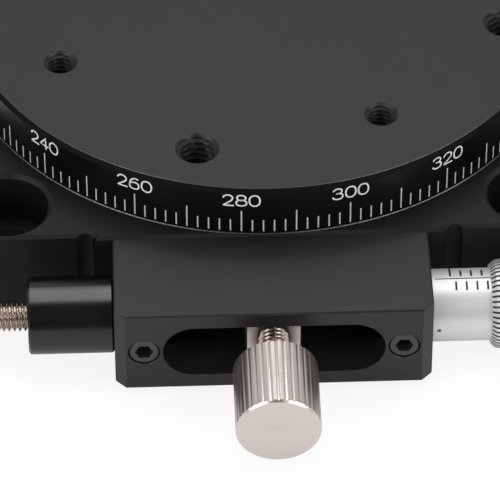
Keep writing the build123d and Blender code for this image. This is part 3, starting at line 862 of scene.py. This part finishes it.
@dataclass
class ThumbScrew:
    """Knurled thumb knob on a threaded stud."""

    name: str
    axis: TurningAxis
    body: str
    knob_node: str
    stud_node: str
    finish: Finish
    radius: float = 4.0
    chamfer: float = 0.2
    bore: float = 1.5
    bore_depth: float = 5.0
    bore_mouth: float = 0.12
    centre_mark: tuple[Pair, ...] = ((0.0, 0.55), (0.03, 0.42), (0.07, 0.2), (0.08, 0.0))  # depth and radius
    flutes: int = 36
    steps_per_flute: int = 12
    groove: float = 0.055
    groove_width: float = 0.34
    stud_radius: float = 1.47
    root_radius: float = 1.17
    tip_radius: float = 0.95
    tip_gap: float = 0.04
    pitch: float = 0.5
    rows_per_pitch: int = 10
    thread_shares: Pair = (0.13, 0.2)

    def build(self, effects: Effects) -> None:
        """Build the knob and the stud where their CAD nodes are."""
        self.rear, self.front = self.axis.extent(self.knob_node)
        self.stud_start = self.axis.extent(self.stud_node)[0]
        self._knob(effects)
        self._stud(effects)

    def _knob(self, effects: Effects) -> None:
        """Knob with straight V grooves.

        The radius at an angle is the knob's radius less a V of the groove's depth; at each end it is never
        more than the 45 degree chamfer allows.  The front has a small centre mark.
        """
        count = self.flutes * self.steps_per_flute
        share = np.arange(count) / self.steps_per_flute
        width = self.groove_width / (TURN * self.radius / self.flutes)
        offset = np.abs(share - np.round(share))
        knurl = self.radius - self.groove * np.clip(1 - offset / (width / 2), 0, 1)
        rear, front, bottom = self.rear, self.front, self.rear + self.bore_depth
        rim = self.radius - self.chamfer
        steps = np.linspace(0, self.chamfer, 5)
        body = np.concatenate([rear + steps, front - steps[::-1]])
        cone = rim + np.concatenate([steps, steps[::-1]])
        walls = np.minimum(knurl, cone[:, None])
        skin = Skin(f"{self.name}_knob")
        skin.grid(self.axis.place(body[:, None], walls, share / self.flutes * TURN), wrap_columns=True)
        face = np.array([(front, rim), *((front - depth, radius) for depth, radius in self.centre_mark)])
        back = np.array([(rear, rim), (rear, self.bore + self.bore_mouth),
                         (rear + self.bore_mouth, self.bore), (bottom, self.bore), (bottom, 0.0)])
        for profile in (face, back):
            skin.grid(turned(self.axis, profile, count), wrap_columns=True)
        knob = skin.piece(self.finish.material(effects), self.body, "satin_nickel", sharp=24.0)
        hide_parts(self.knob_node)

    def _stud(self, effects: Effects) -> None:
        """Stud with a single-start right-hand thread.

        The radius is the root's, plus the thread's depth on the ridge of the helix, and both ends are
        bevelled by never passing a 45 degree cone.
        """
        start, end = self.stud_start, self.rear + self.bore_depth - self.tip_gap
        rows = int(round((end - start) / self.pitch * self.rows_per_pitch)) + 1
        along = np.linspace(start, end, rows)[:, None]
        radius = thread(along, self.pitch, self.root_radius, self.stud_radius, self.thread_shares)
        radius = np.minimum(radius, self.tip_radius + np.minimum(along - start, end - along))
        skin = Skin(f"{self.name}_stud")
        skin.grid(self.axis.place(along, radius, THREAD_ANGLES), wrap_columns=True)
        for place, row in ((start, 0), (end, -1)):
            radii = np.stack([radius[row], 0 * THREAD_ANGLES])
            skin.grid(self.axis.place(np.full((2, 1), place), radii, THREAD_ANGLES), wrap_columns=True)
        stud = skin.piece(THREAD_STEEL.material(effects), self.body, "stud_steel", sharp=50.0)
        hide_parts(self.stud_node)


@dataclass
class Micrometer:
    """Micrometer head: the marks on its sleeve and thimble."""

    sleeve_radius: float = 3.45
    zero: float = 16.84
    scale_angle: float = -math.pi / 2
    line_ends: Pair = (0.35, 0.2)  # from the sleeve's ends
    line_width: float = 0.11
    tick_width: float = 0.20
    whole_ticks: Triple = (-0.12, -0.9, -1.75)  # radians from the line, the length, each fifth's length
    half_ticks: Pair = (0.133, 0.80)
    number_turn: float = -0.86
    sleeve_digits: Lettering = Lettering(0.95, 0.62, 0.13, 0.1)
    edge_radius: float = 3.76
    nose_length: float = 0.45
    nose_radius: float = 4.16
    taper_length: float = 2.5
    full_radius: float = 4.6
    divisions: int = 50
    division_foot: float = 0.02
    division_ends: Pair = (1.35, 2.0)
    division_width: float = 0.23
    number_middle: float = 3.35
    thimble_digits: Lettering = Lettering(1.0, 0.66, 0.14, 0.12)
    proud: float = 0.008
    sunk: float = 0.03

    def build(self, effects: Effects) -> None:
        """Draw the sleeve's scale and the thimble's."""
        self._sleeve(effects)
        self._thimble(effects)

    def _sleeve(self, effects: Effects) -> None:
        """Index line along the top, whole millimetres beyond it and half ones before it."""
        start, end = DRIVE_AXIS.extent("micrometer_sleeve")
        scale = Marks("sleeve_scale", DRIVE_AXIS, ((0.0, self.sleeve_radius),), proud=self.proud)
        scale.bars(np.array([self.scale_angle]), start + self.line_ends[0], end - self.line_ends[1],
                   self.line_width)
        turn, short, long = self.whole_ticks
        for step in range(9):
            self._tick(scale, self.zero + step, turn, short if step % 5 else long)
        for step in range(8):
            self._tick(scale, self.zero + step + 0.5, *self.half_ticks)
        side = self.scale_angle + self.number_turn
        for value in (0, 5):
            scale.number(str(value), side, self.zero + value, self.sleeve_digits, turned_by=math.pi)
        scale.skin.piece(BLACK_FILL.material(effects), "base", "satin_chrome")

    def _thimble(self, effects: Effects) -> None:
        """Fifty lines from the thimble's edge, longer every fifth, with the fifths numbered."""
        edge = DRIVE_AXIS.extent("micrometer_thimble")[0]
        profile = ((edge, self.edge_radius), (edge + self.nose_length, self.nose_radius),
                   (edge + self.taper_length, self.full_radius))
        lines = Marks("thimble_scale", DRIVE_AXIS, profile, proud=self.proud, sunk=self.sunk)
        index = np.arange(self.divisions)
        short, long = self.division_ends
        lines.bars(index * TURN / self.divisions + self.scale_angle, edge + self.division_foot,
                   edge + np.where(index % 5, short, long), self.division_width, steps=24)
        lines.skin.piece(BLACK_FILL.material(effects), "thimble", "satin_chrome")
        numbers = Marks("thimble_numbers", DRIVE_AXIS, profile, proud=self.proud)
        for value in range(0, self.divisions, 5):
            angle = self.scale_angle - value * TURN / self.divisions
            numbers.number(str(value), angle, edge + self.number_middle, self.thimble_digits,
                           turned_by=-math.pi / 2)
        numbers.skin.piece(BLACK_FILL.material(effects), "thimble", "satin_chrome")

    def _tick(self, marks: Marks, place: float, start: float, reach: float) -> None:
        """Add one graduation round the sleeve: it starts at an angle from the index line."""
        turn = self.scale_angle + np.linspace(start, start + reach / self.sleeve_radius, 7)
        marks.line(np.stack([turn, np.full(7, place)], axis=-1), False, self.tick_width)


@dataclass
class BaseLand:
    """Worn turned edge of the base's land, under the table's rim."""

    inner: float = 29.8
    outer: float = 30.07
    foot: float = 10.38
    shoulder: float = 10.44
    top: float = 10.53
    slope: float = 0.07

    def build(self, effects: Effects) -> None:
        """Closed ring: its section is a box whose outer upper corner slopes."""
        section = np.array([(self.foot, self.inner), (self.foot, self.outer), (self.shoulder, self.outer),
                            (self.top, self.outer - self.slope), (self.top, self.inner)])
        skin = Skin("land_edge")
        skin.grid(turned(TABLE_AXIS, section, RING_SEGMENTS), wrap_rows=True, wrap_columns=True)
        skin.piece(WORN_EDGE.material(effects), "base", "black_aluminium", sharp=25.0)


NODE_FINISHES: dict[Finish, tuple[str, ...]] = {
    ANODISED_BASE_SHADED: ("base_plate",),
    ANODISED: ("centre_post", "bearing_retainer", "arm_ring", "adjuster_block"),
    BLACK_OXIDE: ("post_screws", "block_screws", "stem_clamp_screws"),
    GROUND_STEEL: ("bearing_inner_ring", "bearing_outer_ring_lower", "bearing_outer_ring_upper",
                   "bearing_rollers", "contact_ball", "micrometer_spindle", "spring_plunger", "spring_seat"),
    BRASS: ("roller_cage", "lock_shoe"),
    POLYMER: ("thrust_washer", "arm_ring_washer"),
    BAR_NICKEL: ("tangent_bar",),
    THREAD_STEEL: ("micrometer_frame", "adjusting_nut"),
    SATIN_CHROME: ("micrometer_sleeve", "micrometer_thimble", "thimble_cap"),
    BARREL_BLACK: ("spring_barrel", "barrel_plug"),
    SPRING_STEEL: ("return_spring",),
}


def dress_nodes(nodes: dict[str, Object], effects: Effects) -> None:
    """Give every CAD node that stays its finish.

    Args:
        nodes: the CAD nodes by name.
        effects: the shared node groups.
    """
    for finish, names in NODE_FINISHES.items():
        for name in names:
            mesh = nodes[name].data
            mesh.materials.clear()
            mesh.materials.append(finish.material(effects))
            LOG.info("%s: dressed in %s", name, finish.name)


# ---------------- studio


@dataclass(frozen=True)
class Softbox:
    """Rectangular lamp that faces the stage: place and size in metres, power in watts."""

    name: str
    place: Triple
    size: Pair
    watts: float

    def build(self) -> None:
        """Add the lamp."""
        data = bpy.data.lights.new(self.name, "AREA")
        data.shape = "RECTANGLE"
        data.size, data.size_y = self.size
        data.energy = self.watts
        lamp = linked(self.name, data)
        lamp.location = self.place
        lamp.rotation_euler = (-Vector(self.place)).to_track_quat("-Z", "Y").to_euler()


@dataclass
class Studio:
    """Camera, pale floor, three softboxes and a surround that is pale behind and to the left."""

    focal_px: float = 4554.4
    frame_px: float = 500.0
    sensor_mm: float = 36.0
    distance: float = 450.0
    elevation: float = 43.955
    azimuth: float = -1.949
    roll: float = -0.1
    across: float = -0.899
    above: float = -26.35
    table_top: float = 16.0
    clip_metres: Pair = (0.02, 20.0)
    floor_metres: float = 3.0  # half its side
    floor_drop: float = 0.0001
    floor_shade: float = 0.86
    floor_glow: float = 1.05
    glow_to_camera: float = 0.82
    glow_to_gloss: float = 0.32
    back_angles: Pair = (1.25, 1.60)  # from level in front, over the top
    back_levels: Pair = (0.11, 0.68)
    left_reach: Pair = (-0.35, -0.90)
    left_level: float = 0.30
    softboxes: tuple[Softbox, ...] = (
        Softbox("overhead_softbox", (0.0, 0.13, 0.6), (0.19, 0.5), 1.28),
        Softbox("left_softbox", (-0.43, -0.35, 0.33), (0.5, 0.42), 1.9),
        Softbox("right_softbox", (0.43, -0.35, 0.33), (0.5, 0.4), 1.9),
    )

    def build(self) -> None:
        """Set the camera, floor, world and lamps."""
        self._camera()
        self._floor()
        self._world()
        for softbox in self.softboxes:
            softbox.build()
        bpy.context.scene.view_settings.view_transform = "Standard"

    def _camera(self) -> None:
        """Place the camera on the fitted line of sight."""
        turn, rise, roll = (math.radians(v) for v in (self.azimuth, self.elevation, self.roll))
        back = Vector((math.sin(turn) * math.cos(rise), -math.cos(turn) * math.cos(rise), math.sin(rise)))
        side = Vector((math.cos(turn), math.sin(turn), 0.0))
        rising = back.cross(side)
        right = side * math.cos(roll) + rising * math.sin(roll)
        up = rising * math.cos(roll) - side * math.sin(roll)
        place = back * self.distance + side * self.across + rising * self.above
        place.z += self.table_top
        data = bpy.data.cameras.new("camera")
        data.sensor_width = self.sensor_mm
        data.lens = self.focal_px / self.frame_px * self.sensor_mm
        data.clip_start, data.clip_end = self.clip_metres
        camera = linked("camera", data)
        matrix = Matrix((right, up, back)).transposed().to_4x4()
        matrix.translation = place * MM
        camera.matrix_world = matrix
        bpy.context.scene.camera = camera

    def _floor(self) -> None:
        """Pale floor that keeps the shadow, and glows a little to the camera and in glossy surfaces."""
        mesh = bpy.data.meshes.new("floor")
        half, level = self.floor_metres, -self.floor_drop
        square = [(-half, -half, level), (half, -half, level), (half, half, level), (-half, half, level)]
        mesh.from_pydata(square, [], [(0, 1, 2, 3)])
        material = bpy.data.materials.new("floor_white")
        material.use_nodes = True
        nodes = Nodes(material.node_tree)
        pale = nodes.add("BsdfDiffuse", Color=(*[self.floor_shade] * 3, 1.0))
        glow = nodes.add("Emission", Color=WHITE, Strength=self.floor_glow)
        path = nodes.add("LightPath").outputs
        seen = nodes.blend(path["Is Camera Ray"], self.glow_to_camera,
                           path["Is Glossy Ray"], self.glow_to_gloss)
        both = nodes.add("MixShader", Fac=seen)
        nodes.feed(both.inputs[1], pale.outputs[0])
        nodes.feed(both.inputs[2], glow.outputs[0])
        nodes.show("OutputMaterial", both.outputs[0])
        mesh.materials.append(material)
        floor = linked("floor", mesh)

    def _world(self) -> None:
        """Soft surround: pale behind and to the left, dim in front, and white to the camera."""
        world = bpy.data.worlds.new("surround")
        bpy.context.scene.world = world
        world.use_nodes = True
        nodes = Nodes(world.node_tree)
        place = nodes.add("TexCoord").outputs["Generated"]
        x, y, z = nodes.add("SeparateXYZ", Vector=place).outputs
        over = nodes.math("ARCTAN2", z, nodes.math("MULTIPLY", y, -1.0))
        back = nodes.ranged(over, *self.back_angles, *self.back_levels)
        left = nodes.ranged(x, *self.left_reach, 0.0, self.left_level)
        level = nodes.math("MAXIMUM", back, left)
        seen = nodes.math("MAXIMUM", level, nodes.add("LightPath").outputs["Is Camera Ray"])
        glow = nodes.add("Background", Color=WHITE, Strength=seen)
        nodes.show("OutputWorld", glow.outputs[0])


def main() -> None:
    """Build the stage's looks in order."""
    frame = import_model()
    effects = Effects()
    dress_nodes(frame["nodes"], effects)
    RotaryTable().build(effects)
    BaseLand().build(effects)
    ThumbScrew("lock", LOCK_AXIS, "lock_screw", "lock_knob", "lock_stud", SATIN_NICKEL).build(effects)
    ThumbScrew("preload", PRELOAD_AXIS, "preload_screw", "preload_knob", "preload_stud",
               SATIN_NICKEL_PRELOAD).build(effects)
    Micrometer().build(effects)
    Studio().build()


if __name__ == "__main__":
    logging.basicConfig(level=logging.INFO, format="%(message)s")
    main()
